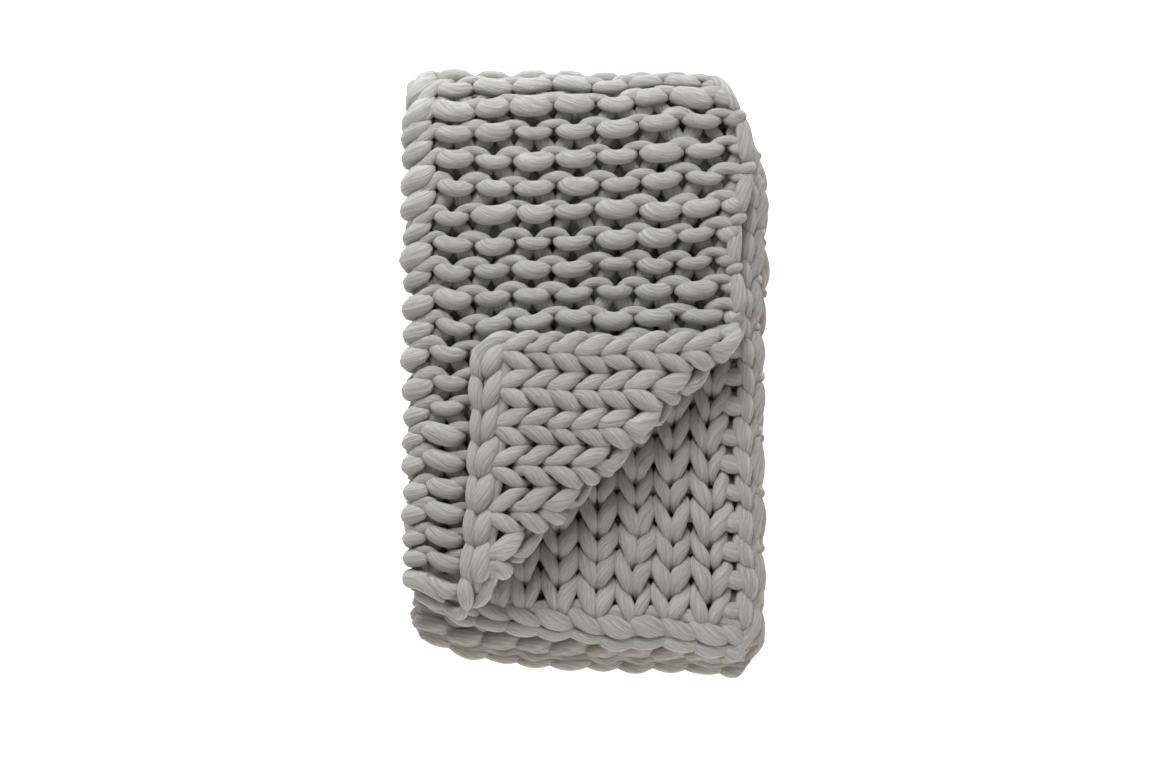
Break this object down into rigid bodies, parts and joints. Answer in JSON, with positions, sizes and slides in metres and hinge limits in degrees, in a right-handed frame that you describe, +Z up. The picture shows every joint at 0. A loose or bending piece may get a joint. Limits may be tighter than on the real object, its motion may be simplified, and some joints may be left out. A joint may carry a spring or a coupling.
{
  "type": "throw blanket",
  "caption": "Light grey giant-yarn knitted throw, folded in quarters with one corner turned back to show its smooth side",
  "frame": {"origin": "middle of the folded pile's bounding box, on the surface it rests on", "axes": "+Z up, +Y along the pile's length towards its folded end, +X across its width towards the free side edges, the side fold at -X"},
  "size_m": [0.4976, 0.8174, 0.166],
  "materials": {
    "fabric": "soft roving yarn, matt with a faint sheen"
  },
  "bodies": {
    "root": {"throw": "fabric"}
  },
  "joints": []
}
